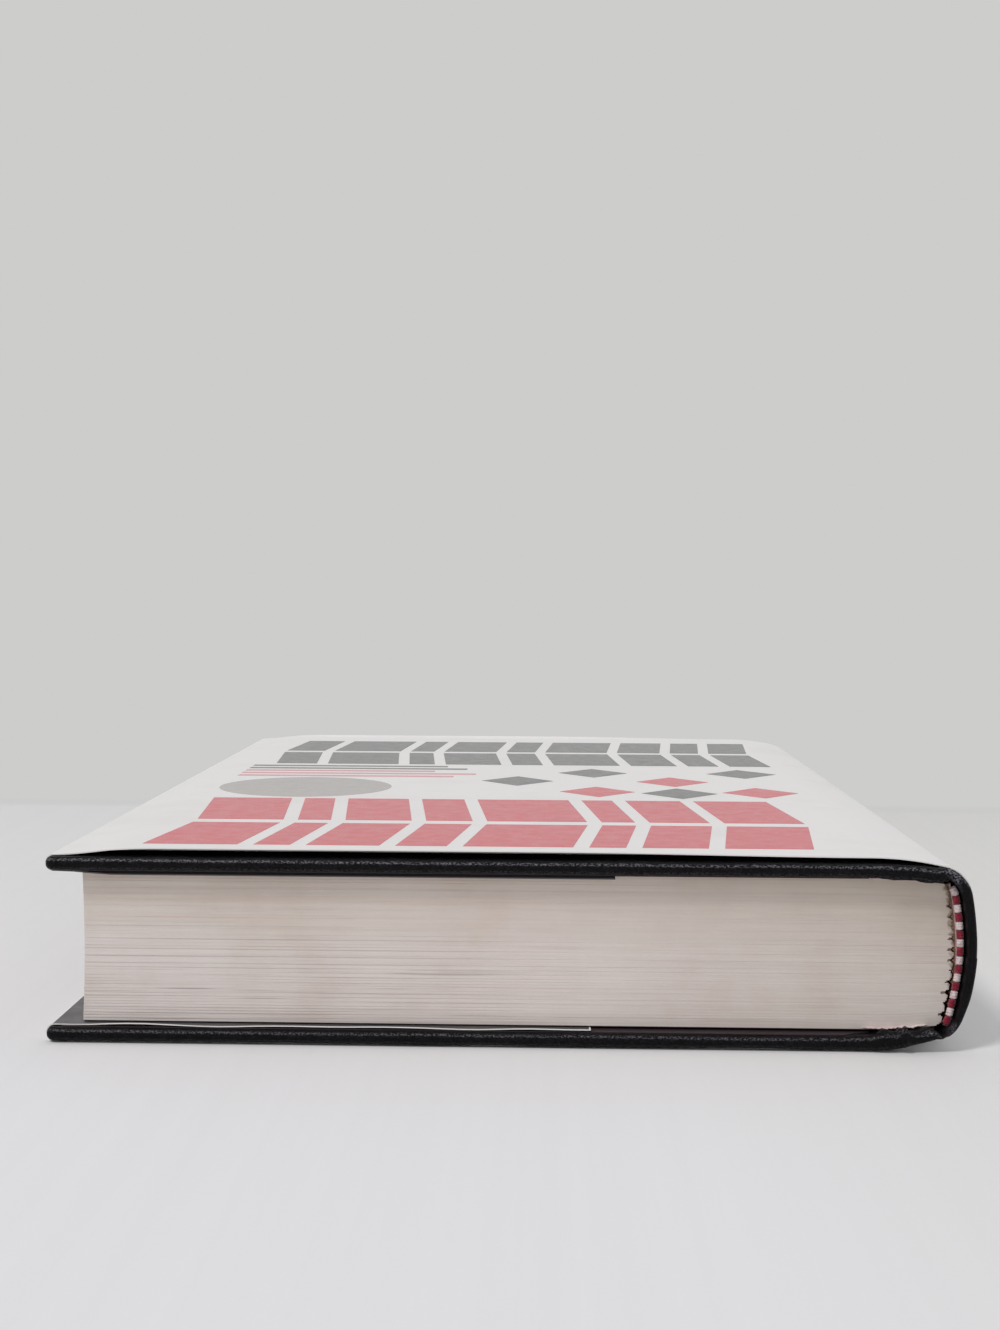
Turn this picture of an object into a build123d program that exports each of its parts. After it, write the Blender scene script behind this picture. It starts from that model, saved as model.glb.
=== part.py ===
from build123d import *
import os
from math import asin, atan2, cos, degrees, radians, sin, sqrt, tan

os.makedirs("parts", exist_ok=True)

# A trade hardcover book in its paper jacket, closed and lying on its back cover.
# X runs from the fore-edge to the spine, Y from the head to the tail and Z up.
# All sizes are in millimetres.

# Page block: folded sections sewn through their backs
section_count = 13
section_thickness = 2.0
page_height = 228.0
fore_edge_hollow = 0.3
section_round = 0.45
section_flat_shares = (0.12, 0.35, 0.65, 0.88, 1.0)

# Covers: boards that stand past the pages on three sides
head_square = 3.5
fore_square = 5.8
cover_width = 154.6
board_thickness = 1.8
board_end_gap = 7.0
cover_edge_radius = 1.1
turn_in_width = 15.0

# Sheets
cloth_thickness = 0.25
endpaper_thickness = 0.15
mull_thickness = 0.25
lining_thickness = 0.2
glue_thickness = 0.15
inlay_thickness = 1.2
jacket_thickness = 0.2
print_thickness = 0.04

# Joint, where each cover dips towards the spine
joint_width = 13.0
joint_drop = 0.8

# Rounded spine of the case
spine_depth = 5.0
corner_radius = 5.5
crease_angle = 75.0
hollow_gap = 1.0

# Mull wings, pastedowns and linings
mull_wing_width = 25.0
mull_end_margin = 14.0
pastedown_margin = 2.8

# Jacket
jacket_setback = 2.0
jacket_clearance = 0.1
jacket_hover = 0.75
jacket_rise_width = 11.0
front_flap_width = 98.0
back_flap_width = 94.0

# Bands at the head and the tail
bead_radius = 0.65
bead_gap = 0.1
straight_bead_count = 14
corner_bead_angle = 31.0
band_tape_height = 10.0

# Clearances
cover_clearance = 0.15
bead_clearance = 0.15
glue_clearance = 0.03
hinge_gap = 0.1
overrun = 20.0

# Depths below the outer face of a cover's cloth
board_depth = cloth_thickness
board_inner_depth = board_depth + board_thickness
turn_in_depth = board_inner_depth + cloth_thickness
pastedown_depth = turn_in_depth + endpaper_thickness
flap_depth = pastedown_depth + jacket_thickness
flyleaf_depth = flap_depth + cover_clearance
block_depth = flyleaf_depth + endpaper_thickness

# Depths below the outer face of the spine's cloth
case_inner_depth = cloth_thickness + inlay_thickness + cloth_thickness
bead_depth = case_inner_depth + bead_clearance + bead_radius
lining_depth = case_inner_depth + hollow_gap
mull_depth = lining_depth + lining_thickness
glue_depth = mull_depth + mull_thickness
fold_depth = glue_depth + glue_thickness
notch_depth = fold_depth + section_round

# Heights
block_thickness = section_count * section_thickness
cover_height = page_height + 2 * head_square
jacket_height = cover_height - 2 * jacket_setback
z_back = jacket_thickness + jacket_clearance
z_front = z_back + 2 * block_depth + block_thickness
z_middle = (z_back + z_front) / 2

# Places across the width
jacket_stand_off = jacket_clearance + jacket_thickness
overall_width = cover_width + spine_depth + 2 * jacket_stand_off
x_fore = jacket_stand_off - overall_width / 2
x_crease = x_fore + cover_width
x_spine = x_crease + spine_depth
x_joint = x_crease - joint_width
x_pages = x_fore + fore_square
x_board_end = x_crease - board_end_gap
x_past_hinge = x_crease + joint_width / 4
x_pastedown = x_fore + pastedown_margin
x_window = x_fore + turn_in_width
x_mull = x_crease - mull_wing_width
window_half = cover_height / 2 - turn_in_width
mull_half = window_half - mull_thickness

# Arc of the joint and the arcs of the spine
joint_radius = (joint_width**2 + joint_drop**2) / (2 * joint_drop)
z_crease = z_front - joint_drop
x_corner = x_crease - corner_radius * cos(radians(crease_angle))
z_corner = z_crease - corner_radius * sin(radians(crease_angle))
corner_reach = x_spine - x_corner
corner_rise = z_corner - z_middle
spine_radius = (corner_reach**2 + corner_rise**2 - corner_radius**2) / (
    2 * (corner_reach - corner_radius)
)
x_spine_centre = x_spine - spine_radius
round_angle = degrees(atan2(corner_rise, spine_radius - corner_reach))


def cover_z(depth, x):
    """Height, at x, of the front cover's surface that lies this deep under its outer face."""
    if x <= x_joint:
        return z_front - depth
    return z_front - joint_radius + sqrt((joint_radius - depth) ** 2 - (x - x_joint) ** 2)


def cover_point(depth, x):
    return (x, cover_z(depth, x))


def mirrored(point):
    """The same point on the back cover."""
    return (point[0], 2 * z_middle - point[1])


shoulder_angle = degrees(
    asin((cover_z(block_depth, x_crease) - z_middle) / (spine_radius - notch_depth))
)


def back_point(depth, angle):
    """A point on the rounded back of the pages, at an angle about the spine's centre."""
    radius = spine_radius - depth
    return (x_spine_centre + radius * cos(radians(angle)), z_middle + radius * sin(radians(angle)))


def cover_layer(outer_depth, inner_depth, x_start, x_end):
    """Section of one flat layer of the front cover, which follows the joint's arc."""
    with BuildSketch() as section:
        with BuildLine():
            if x_end > x_joint:
                for depth in (outer_depth, inner_depth):
                    Line(cover_point(depth, x_start), cover_point(depth, x_joint))
                    TangentArc(
                        cover_point(depth, x_joint), cover_point(depth, x_end), tangent=(1, 0)
                    )
            else:
                for depth in (outer_depth, inner_depth):
                    Line(cover_point(depth, x_start), cover_point(depth, x_end))
            for x in (x_start, x_end):
                Line(cover_point(outer_depth, x), cover_point(inner_depth, x))
        make_face()
    return section.sketch


def cover_zone():
    """Everything on the cover's side of the hinge line, short of it by the hinge gap."""
    along = (cos(radians(crease_angle)), sin(radians(crease_angle)))
    x_edge = x_crease - hinge_gap * along[1]
    z_edge = z_crease + hinge_gap * along[0]
    with BuildSketch() as zone:
        with BuildLine():
            Polyline(
                (x_edge - overrun * along[0], z_edge - overrun * along[1]),
                (x_edge + overrun * along[0], z_edge + overrun * along[1]),
                (x_fore - overrun, z_edge + overrun * along[1]),
                (x_fore - overrun, z_edge - overrun * along[1]),
                close=True,
            )
        make_face()
    return zone.sketch


def spine_layer(outer_depth, inner_depth):
    """Section of one layer of the case's spine, from crease to crease."""
    ends = []
    with BuildSketch() as section:
        with BuildLine():
            for depth in (outer_depth, inner_depth):
                radius = corner_radius - depth
                turn = crease_angle - round_angle
                CenterArc((x_spine_centre, z_middle), spine_radius - depth, -round_angle, 2 * round_angle)
                upper = CenterArc((x_corner, z_corner), radius, round_angle, turn)
                lower = CenterArc(mirrored((x_corner, z_corner)), radius, -crease_angle, turn)
                ends.append((upper @ 1, lower @ 0))
            Line(ends[0][0], ends[1][0])
            Line(ends[0][1], ends[1][1])
        make_face()
    return section.sketch


def back_layer(outer_depth, inner_depth):
    """Section of one layer on the rounded back of the pages."""
    with BuildSketch() as section:
        with BuildLine():
            for depth in (outer_depth, inner_depth):
                CenterArc(
                    (x_spine_centre, z_middle),
                    spine_radius - depth,
                    -shoulder_angle,
                    2 * shoulder_angle,
                )
            for angle in (-shoulder_angle, shoulder_angle):
                Line(back_point(outer_depth, angle), back_point(inner_depth, angle))
        make_face()
    return section.sketch


def section_backs():
    """Points down the folded backs of the sections, each one a half ellipse in five flats."""
    step = 2 * shoulder_angle / section_count
    points = [back_point(notch_depth, shoulder_angle)]
    for index in range(section_count):
        for share in section_flat_shares:
            rise = section_round * sqrt(1 - (2 * share - 1) ** 2)
            points.append(back_point(notch_depth - rise, shoulder_angle - (index + share) * step))
    return points


def page_section():
    """Section of the page block: hollow fore-edge, dipped shoulders, rounded section backs."""
    shoulder = back_point(notch_depth, shoulder_angle)
    fore_top = cover_point(block_depth, x_pages)
    joint_top = cover_point(block_depth, x_joint)
    with BuildSketch() as section:
        with BuildLine():
            ThreePointArc(mirrored(fore_top), (x_pages + fore_edge_hollow, z_middle), fore_top)
            Line(fore_top, joint_top)
            TangentArc(joint_top, shoulder, tangent=(1, 0))
            Polyline(*section_backs())
            TangentArc(mirrored(joint_top), mirrored(shoulder), tangent=(1, 0))
            Line(mirrored(fore_top), mirrored(joint_top))
        make_face()
    return section.sketch


def board_form(x_end):
    """A board with its edges eased to fit inside the cloth's rounding, up to x_end."""
    ease = (cover_edge_radius - cloth_thickness) * (2 - sqrt(2))
    with BuildPart() as form:
        with BuildSketch(Plane.XZ):
            add(cover_layer(board_depth, board_inner_depth, x_fore + cloth_thickness, x_end))
        extrude(amount=cover_height / 2 - cloth_thickness, both=True)
        eased = form.edges().filter_by(lambda edge: edge.bounding_box().min.X < x_joint + hinge_gap)
        chamfer(eased, ease)
    return form.part


# Text block

with BuildPart() as text_block:
    with BuildSketch(Plane.XZ):
        add(page_section())
    extrude(amount=page_height / 2, both=True)
text_block.part.label = "text_block"
export_step(text_block.part, "parts/text_block.step")

with BuildPart() as spine_glue:
    glue_step = 2 * shoulder_angle / section_count
    glue_angles = [shoulder_angle - index * glue_step for index in range(section_count + 1)]
    with BuildSketch(Plane.XZ):
        with BuildLine():
            Polyline(
                *[back_point(glue_depth + glue_clearance, angle) for angle in glue_angles],
                *[back_point(notch_depth, angle) for angle in reversed(glue_angles)],
                close=True,
            )
        make_face()
        add(page_section(), mode=Mode.SUBTRACT)
    extrude(amount=page_height / 2, both=True)
spine_glue.part.label = "spine_glue"
export_step(spine_glue.part, "parts/spine_glue.step")

with BuildPart() as spine_mull:
    with BuildSketch(Plane.XZ):
        add(back_layer(mull_depth, glue_depth))
    extrude(amount=page_height / 2 - mull_end_margin, both=True)
spine_mull.part.label = "spine_mull"
export_step(spine_mull.part, "parts/spine_mull.step")

with BuildPart() as spine_lining:
    with BuildSketch(Plane.XZ):
        add(back_layer(lining_depth, mull_depth))
    extrude(amount=page_height / 2 - bead_radius, both=True)
spine_lining.part.label = "spine_lining"
export_step(spine_lining.part, "parts/spine_lining.step")

# Endpapers

with BuildPart() as front_flyleaf:
    with BuildSketch(Plane.XZ):
        add(cover_layer(flyleaf_depth, block_depth, x_pages, back_point(notch_depth, shoulder_angle)[0]))
    extrude(amount=page_height / 2, both=True)
front_flyleaf.part.label = "front_flyleaf"
export_step(front_flyleaf.part, "parts/front_flyleaf.step")

with BuildPart() as back_flyleaf:
    mirror(front_flyleaf.part, about=Plane.XY.offset(z_middle))
back_flyleaf.part.label = "back_flyleaf"
export_step(back_flyleaf.part, "parts/back_flyleaf.step")

with BuildPart() as front_pastedown:
    with BuildSketch(Plane.XZ):
        add(cover_layer(turn_in_depth, pastedown_depth, x_pastedown, x_past_hinge))
        add(cover_zone(), mode=Mode.INTERSECT)
    extrude(amount=page_height / 2, both=True)
    with BuildSketch(Plane.XZ):
        add(cover_layer(board_inner_depth, pastedown_depth, x_window, x_mull))
    extrude(amount=window_half, both=True)
    with BuildSketch(Plane.XZ):
        add(
            cover_layer(
                board_inner_depth + endpaper_thickness,
                pastedown_depth + endpaper_thickness,
                x_window + endpaper_thickness,
                x_mull - endpaper_thickness,
            )
        )
    extrude(amount=window_half - endpaper_thickness, both=True, mode=Mode.SUBTRACT)
front_pastedown.part.label = "front_pastedown"
export_step(front_pastedown.part, "parts/front_pastedown.step")

with BuildPart() as back_pastedown:
    mirror(front_pastedown.part, about=Plane.XY.offset(z_middle))
back_pastedown.part.label = "back_pastedown"
export_step(back_pastedown.part, "parts/back_pastedown.step")

# Boards, mull wings and the spine's card

with BuildPart() as front_board:
    add(board_form(x_board_end))
front_board.part.label = "front_board"
export_step(front_board.part, "parts/front_board.step")

with BuildPart() as back_board:
    mirror(front_board.part, about=Plane.XY.offset(z_middle))
back_board.part.label = "back_board"
export_step(back_board.part, "parts/back_board.step")

with BuildPart() as front_mull_wing:
    with BuildSketch(Plane.XZ):
        add(cover_layer(board_inner_depth, board_inner_depth + mull_thickness, x_mull, x_past_hinge))
        add(cover_zone(), mode=Mode.INTERSECT)
    extrude(amount=mull_half, both=True)
front_mull_wing.part.label = "front_mull_wing"
export_step(front_mull_wing.part, "parts/front_mull_wing.step")

with BuildPart() as back_mull_wing:
    mirror(front_mull_wing.part, about=Plane.XY.offset(z_middle))
back_mull_wing.part.label = "back_mull_wing"
export_step(back_mull_wing.part, "parts/back_mull_wing.step")

with BuildPart() as spine_inlay:
    with BuildSketch(Plane.XZ):
        add(spine_layer(cloth_thickness, cloth_thickness + inlay_thickness))
    extrude(amount=cover_height / 2 - cloth_thickness, both=True)
spine_inlay.part.label = "spine_inlay"
export_step(spine_inlay.part, "parts/spine_inlay.step")

# Cloth of the case, with its edges turned in round the boards

with BuildPart() as front_cloth:
    with BuildSketch(Plane.XZ):
        add(cover_layer(0, turn_in_depth, x_fore, x_past_hinge))
    extrude(amount=cover_height / 2, both=True)
    outer_edges = front_cloth.edges().filter_by(
        lambda edge: edge.bounding_box().min.X < x_joint + hinge_gap
    )
    fillet(outer_edges, cover_edge_radius)
    add(board_form(x_past_hinge + hinge_gap), mode=Mode.SUBTRACT)
    with BuildSketch(Plane.XZ):
        add(cover_layer(board_inner_depth, turn_in_depth + hinge_gap, x_window, x_past_hinge))
    extrude(amount=window_half, both=True, mode=Mode.SUBTRACT)
    with BuildSketch(Plane.XZ):
        add(cover_zone())
    extrude(amount=cover_height, both=True, mode=Mode.INTERSECT)
front_cloth.part.label = "front_cloth"
export_step(front_cloth.part, "parts/front_cloth.step")

with BuildPart() as back_cloth:
    mirror(front_cloth.part, about=Plane.XY.offset(z_middle))
back_cloth.part.label = "back_cloth"
export_step(back_cloth.part, "parts/back_cloth.step")

with BuildPart() as spine_cloth:
    with BuildSketch(Plane.XZ):
        add(spine_layer(0, case_inner_depth))
    extrude(amount=cover_height / 2, both=True)
    with BuildSketch(Plane.XZ):
        add(spine_layer(cloth_thickness, cloth_thickness + inlay_thickness))
    extrude(amount=cover_height / 2 - cloth_thickness, both=True, mode=Mode.SUBTRACT)
    with BuildSketch(Plane.XZ):
        add(spine_layer(cloth_thickness + inlay_thickness, case_inner_depth))
    extrude(amount=window_half, both=True, mode=Mode.SUBTRACT)
spine_cloth.part.label = "spine_cloth"
export_step(spine_cloth.part, "parts/spine_cloth.step")

# Woven bands: a tape on the back of the pages, edged with beads of red and white thread

y_bead = page_height / 2 + bead_gap + bead_radius


def bead_spans():
    """Arc centre, radius, first angle and turn of each bead, from the back to the front cover."""
    corner_centre = (x_corner, z_corner)
    path_radius = corner_radius - bead_depth
    step = 2 * round_angle / straight_bead_count
    spans = [(mirrored(corner_centre), path_radius, -round_angle - corner_bead_angle, corner_bead_angle)]
    for index in range(straight_bead_count):
        start = index * step - round_angle
        spans.append(((x_spine_centre, z_middle), spine_radius - bead_depth, start, step))
    spans.append((corner_centre, path_radius, round_angle, corner_bead_angle))
    return spans


def bead_plane(centre, angle):
    """Plane across the row of beads, at an angle about an arc's centre."""
    return Plane(
        origin=(centre[0], 0, centre[1]),
        x_dir=(cos(radians(angle)), 0, sin(radians(angle))),
        z_dir=(-sin(radians(angle)), 0, cos(radians(angle))),
    )


def thread_beads(spans):
    """Beads of one colour: straight rolls along the back and curved ones round its corners."""
    with BuildPart() as beads:
        for centre, path_radius, start, turn in spans:
            if turn == corner_bead_angle:
                with BuildSketch(bead_plane(centre, start)):
                    with Locations((path_radius, -y_bead)):
                        Circle(bead_radius)
                revolve(axis=Axis((centre[0], 0, centre[1]), (0, -1, 0)), revolution_arc=turn)
            else:
                with BuildSketch(bead_plane(centre, start + turn / 2)):
                    with Locations((path_radius, -y_bead)):
                        Circle(bead_radius)
                extrude(amount=(path_radius - bead_radius) * tan(radians(turn / 2)), both=True)
    return beads.part


with BuildPart() as head_band_tape:
    with BuildSketch(Plane.XZ.offset(page_height / 2 - band_tape_height)):
        add(back_layer(mull_depth, glue_depth))
    extrude(amount=band_tape_height)
head_band_tape.part.label = "head_band_tape"
export_step(head_band_tape.part, "parts/head_band_tape.step")

with BuildPart() as head_band_red_thread:
    add(thread_beads(bead_spans()[0::2]))
head_band_red_thread.part.label = "head_band_red_thread"
export_step(head_band_red_thread.part, "parts/head_band_red_thread.step")

with BuildPart() as head_band_white_thread:
    add(thread_beads(bead_spans()[1::2]))
head_band_white_thread.part.label = "head_band_white_thread"
export_step(head_band_white_thread.part, "parts/head_band_white_thread.step")

with BuildPart() as tail_band_tape:
    mirror(head_band_tape.part, about=Plane.XZ)
tail_band_tape.part.label = "tail_band_tape"
export_step(tail_band_tape.part, "parts/tail_band_tape.step")

with BuildPart() as tail_band_red_thread:
    mirror(head_band_red_thread.part, about=Plane.XZ)
tail_band_red_thread.part.label = "tail_band_red_thread"
export_step(tail_band_red_thread.part, "parts/tail_band_red_thread.step")

with BuildPart() as tail_band_white_thread:
    mirror(head_band_white_thread.part, about=Plane.XZ)
tail_band_white_thread.part.label = "tail_band_white_thread"
export_step(tail_band_white_thread.part, "parts/tail_band_white_thread.step")

# Paper jacket: one sheet, folded round both fore-edges

z_jacket_fold = z_front + jacket_clearance + jacket_thickness / 2
z_flap = z_front - pastedown_depth - jacket_thickness / 2
fold_radius = (z_jacket_fold - z_flap) / 2
x_fold = x_fore - jacket_clearance - jacket_thickness / 2 + fold_radius
x_panel = x_fold + jacket_rise_width


def jacket_section(hover, flap_width):
    """Panel, fold and flap of the jacket round the front cover, this far above its cloth."""
    z_panel = z_jacket_fold + hover
    with BuildSketch() as section:
        with BuildLine():
            Line((x_fore + flap_width, z_flap), (x_fold, z_flap))
            CenterArc((x_fold, z_flap + fold_radius), fold_radius, 90, 180)
            Spline(
                (x_fold, z_jacket_fold), (x_panel, z_panel), tangents=((1, 0), (1, 0))
            )
            Line((x_panel, z_panel), (x_joint, z_panel))
            TangentArc(
                (x_joint, z_panel),
                (x_crease, z_crease + jacket_clearance + jacket_thickness / 2),
                tangent=(1, 0),
            )
        trace(line_width=jacket_thickness)
        add(cover_zone(), mode=Mode.INTERSECT)
    return section.sketch


with BuildPart() as jacket_front:
    with BuildSketch(Plane.XZ):
        add(jacket_section(jacket_hover, front_flap_width))
    extrude(amount=jacket_height / 2, both=True)
jacket_front.part.label = "jacket_front"
export_step(jacket_front.part, "parts/jacket_front.step")

with BuildPart() as jacket_back_upside_down:
    with BuildSketch(Plane.XZ):
        add(jacket_section(0, back_flap_width))
    extrude(amount=jacket_height / 2, both=True)

with BuildPart() as jacket_back:
    mirror(jacket_back_upside_down.part, about=Plane.XY.offset(z_middle))
jacket_back.part.label = "jacket_back"
export_step(jacket_back.part, "parts/jacket_back.step")

with BuildPart() as jacket_spine:
    with BuildSketch(Plane.XZ):
        add(spine_layer(-jacket_stand_off, -jacket_clearance))
    extrude(amount=jacket_height / 2, both=True)
jacket_spine.part.label = "jacket_spine"
export_step(jacket_spine.part, "parts/jacket_spine.step")

# Print on the front panel: fields of colour in a plain layout

z_print = z_jacket_fold + jacket_hover + jacket_thickness / 2
panel_width = x_joint - x_panel
y_head = -jacket_height / 2

red_row_shares = ((0.035, 0.16, 0.10), (0.18, 0.33, -0.10))
red_bar_shares = (0.13, 0.05, 0.10, 0.07, 0.15, 0.05, 0.09, 0.12)
dark_row_shares = ((0.65, 0.78, -0.07), (0.80, 0.93, 0.07))
dark_bar_shares = (0.08, 0.14, 0.05, 0.11, 0.06, 0.13, 0.09, 0.06, 0.08)
bar_gap_share = 0.022
pink_line_shares = ((0.525, 0.40), (0.55, 0.44), (0.575, 0.36))
dark_line_shares = ((0.60, 0.42), (0.625, 0.38))
line_height_share = 0.012
seal_place_share = (0.15, 0.425)
seal_diameter_share = 0.30
lozenge_shares = ((0.66, 0.40), (0.80, 0.49), (0.94, 0.40))
lozenge_size_share = (0.13, 0.085)
dark_lozenge_shares = ((0.52, 0.49), (0.66, 0.57), (0.80, 0.39), (0.94, 0.57))


def panel_point(x_share, y_share):
    return (x_panel + x_share * panel_width, y_head + y_share * jacket_height)


def slanted_bars(row_shares, bar_shares):
    """A row of heavy slanted bars of uneven width, in the active sketch."""
    low_share, high_share, lean_share = row_shares
    x_share = 0.02
    for width_share in bar_shares:
        low_x_share = x_share + max(0, -lean_share) / 4
        high_x_share = x_share + max(0, lean_share) / 4
        Polygon(
            panel_point(low_x_share, low_share),
            panel_point(low_x_share + width_share, low_share),
            panel_point(high_x_share + width_share, high_share),
            panel_point(high_x_share, high_share),
            align=None,
        )
        x_share += width_share + bar_gap_share


def lozenges(centre_shares):
    """Lozenges in the active sketch."""
    half_width, half_height = lozenge_size_share
    for x_share, y_share in centre_shares:
        Polygon(
            panel_point(x_share - half_width / 2, y_share),
            panel_point(x_share, y_share - half_height / 2),
            panel_point(x_share + half_width / 2, y_share),
            panel_point(x_share, y_share + half_height / 2),
            align=None,
        )


def text_lines(line_shares):
    """Thin rules that stand for lines of small print, in the active sketch."""
    for y_share, length_share in line_shares:
        low = panel_point(0, y_share)
        with Locations((low[0] + length_share * panel_width / 2, low[1])):
            Rectangle(length_share * panel_width, line_height_share * jacket_height)


with BuildPart() as jacket_print_red:
    with BuildSketch(Plane.XY.offset(z_print)):
        for row in red_row_shares:
            slanted_bars(row, red_bar_shares)
        lozenges(lozenge_shares)
    extrude(amount=print_thickness)
jacket_print_red.part.label = "jacket_print_red"
export_step(jacket_print_red.part, "parts/jacket_print_red.step")

with BuildPart() as jacket_print_dark:
    with BuildSketch(Plane.XY.offset(z_print)):
        for row in dark_row_shares:
            slanted_bars(row, dark_bar_shares)
        lozenges(dark_lozenge_shares)
        text_lines(dark_line_shares)
    extrude(amount=print_thickness)
jacket_print_dark.part.label = "jacket_print_dark"
export_step(jacket_print_dark.part, "parts/jacket_print_dark.step")

with BuildPart() as jacket_print_pink:
    with BuildSketch(Plane.XY.offset(z_print)):
        text_lines(pink_line_shares)
    extrude(amount=print_thickness)
jacket_print_pink.part.label = "jacket_print_pink"
export_step(jacket_print_pink.part, "parts/jacket_print_pink.step")

with BuildPart() as jacket_seal:
    with BuildSketch(Plane.XY.offset(z_print)):
        with Locations(panel_point(*seal_place_share)):
            Circle(seal_diameter_share * panel_width / 2)
    extrude(amount=print_thickness)
jacket_seal.part.label = "jacket_seal"
export_step(jacket_seal.part, "parts/jacket_seal.step")
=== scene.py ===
from math import asin, atan2, cos, exp, hypot, pi, radians, sin, sqrt

import bmesh
import bpy
from mathutils import Euler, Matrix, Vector, noise


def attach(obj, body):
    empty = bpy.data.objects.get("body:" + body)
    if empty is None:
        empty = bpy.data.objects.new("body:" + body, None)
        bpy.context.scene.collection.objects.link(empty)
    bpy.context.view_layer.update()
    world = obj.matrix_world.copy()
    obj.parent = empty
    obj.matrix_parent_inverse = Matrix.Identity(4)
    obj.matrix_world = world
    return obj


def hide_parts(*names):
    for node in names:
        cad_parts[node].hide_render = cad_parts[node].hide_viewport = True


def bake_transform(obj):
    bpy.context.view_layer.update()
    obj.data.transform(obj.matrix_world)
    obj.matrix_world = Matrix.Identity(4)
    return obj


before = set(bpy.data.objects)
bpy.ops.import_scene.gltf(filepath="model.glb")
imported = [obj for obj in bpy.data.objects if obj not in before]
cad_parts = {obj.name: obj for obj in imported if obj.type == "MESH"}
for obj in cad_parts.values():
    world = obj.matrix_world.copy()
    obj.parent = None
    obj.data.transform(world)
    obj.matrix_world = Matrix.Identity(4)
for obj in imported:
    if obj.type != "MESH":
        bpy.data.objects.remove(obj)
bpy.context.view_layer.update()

# The book's sizes in millimetres, as the part's source has them
mm = 0.001
section_count = 13
page_height = 228.0
cover_height = 235.0
jacket_height = 231.0
endpaper_thickness = 0.15
jacket_thickness = 0.2
jacket_clearance = 0.1
jacket_rise_width = 11.0
fore_edge_hollow = 0.3
turn_in_width = 15.0
joint_width = 13.0
joint_drop = 0.8
spine_depth = 5.0
corner_radius = 5.5
crease_angle = 75.0
section_round = 0.45
bead_radius = 0.65
bead_gap = 0.1
straight_bead_count = 14
corner_bead_angle = 31.0
pastedown_margin = 2.8

# Sizes that differ between the front of the book and its back
jacket_hovers = {"front": 0.75, "back": 0}
flap_widths = {"front": 98.0, "back": 94.0}

# Depths under the outer face of the covers' cloth
board_inner_depth = 2.05
turn_in_depth = 2.3
pastedown_depth = 2.45
flyleaf_depth = 2.8
block_depth = 2.95

# Depths under the outer face of the spine's cloth
spine_window_depth = 1.45
case_inner_depth = 1.7
bead_depth = 2.5
notch_depth = 3.75

# Places
z_front = 32.2
z_middle = 16.25
x_fore = -79.8
x_pages = -74.0
x_crease = 74.8
x_joint = x_crease - joint_width
x_spine = x_crease + spine_depth
z_crease = z_front - joint_drop
joint_radius = (joint_width**2 + joint_drop**2) / (2 * joint_drop)
x_corner = x_crease - corner_radius * cos(radians(crease_angle))
z_corner = z_crease - corner_radius * sin(radians(crease_angle))
corner_reach = x_spine - x_corner
corner_rise = z_corner - z_middle
spine_radius = (corner_reach**2 + corner_rise**2 - corner_radius**2) / (
    2 * (corner_reach - corner_radius)
)
x_spine_centre = x_spine - spine_radius
round_angle = atan2(corner_rise, spine_radius - corner_reach)


# Lines across the book, each point with the outward normal there


def joint_point(x, depth):
    """A point of the front cover's joint and the normal there."""
    lean = asin((x - x_joint) / joint_radius)
    radius = joint_radius - depth
    centre_z = z_front - joint_radius
    return (x_joint + radius * sin(lean), centre_z + radius * cos(lean), sin(lean), cos(lean))


def cover_line(x_start, x_end, depth, flat_count, joint_count):
    """Points on the front cover at this depth, from x_start over the flat and into the joint."""
    flat = [(x, z_front - depth, 0, 1) for x in spread(x_start, x_joint, flat_count)[:-1]]
    return flat + [joint_point(x, depth) for x in spread(x_joint, x_end, joint_count)]


def arc_line(centre, radius, start, end, count):
    """Points on an arc, from one angle to another."""
    line = []
    for angle in spread(start, end, count):
        normal = (cos(angle), sin(angle))
        line.append((centre[0] + radius * normal[0], centre[1] + radius * normal[1], *normal))
    return line


def spine_line(depth, corner_count, main_count):
    """Points on the spine at this depth, from the front crease to the spine's middle."""
    crease = radians(crease_angle)
    corner = arc_line((x_corner, z_corner), corner_radius - depth, crease, round_angle, corner_count)
    main = arc_line((x_spine_centre, z_middle), spine_radius - depth, round_angle, 0, main_count)
    return corner + main[1:]


def reaches(line):
    """The distance along a line at each of its points."""
    reached = [0]
    for (x, z, _, _), (next_x, next_z, _, _) in zip(line, line[1:]):
        reached.append(reached[-1] + hypot(next_x - x, next_z - z))
    return reached


def on_side(point, side):
    """A place on the front of the book, or the same place on its back."""
    return point if side == "front" else (point[0], point[1], 2 * z_middle - point[2])


# Numbers


def spread(start, end, count):
    """Evenly spaced numbers with this many gaps."""
    return [start + (end - start) * index / count for index in range(count + 1)]


def smooth_share(value, start, end):
    """None at the start and one at the end, with a soft change between. A falling run starts high."""
    share = min(1, max(0, (value - start) / (end - start)))
    return share * share * (3 - 2 * share)


def hill(value, width):
    """One where the value is nothing, fading to both sides."""
    return exp(-((value / width) ** 2))


def noise_at(x, y, z):
    return noise.noise(Vector((x, y, z)))


def uneven(first, second, level, change, *factors):
    """A number that varies with two others. A pattern is its level, its change and three factors: one
    for each of the two numbers, and one that sets the pattern apart from others."""
    return level + change * noise_at(first * factors[0], second * factors[1], factors[2])


# Meshes

merge_distance = 1e-6
spine_lean = 0.85
lean_run = (z_middle + 3, 4)


def leaned(x, y, z):
    """The book leans at its spine: low down, things there stand a little nearer to the fore-edge."""
    return x - spine_lean * smooth_share(z, *lean_run) * smooth_share(x, x_joint, x_crease), y, z


def add_object(name, data):
    made = bpy.data.objects.new(name, data)
    bpy.context.scene.collection.objects.link(made)
    return made


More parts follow.
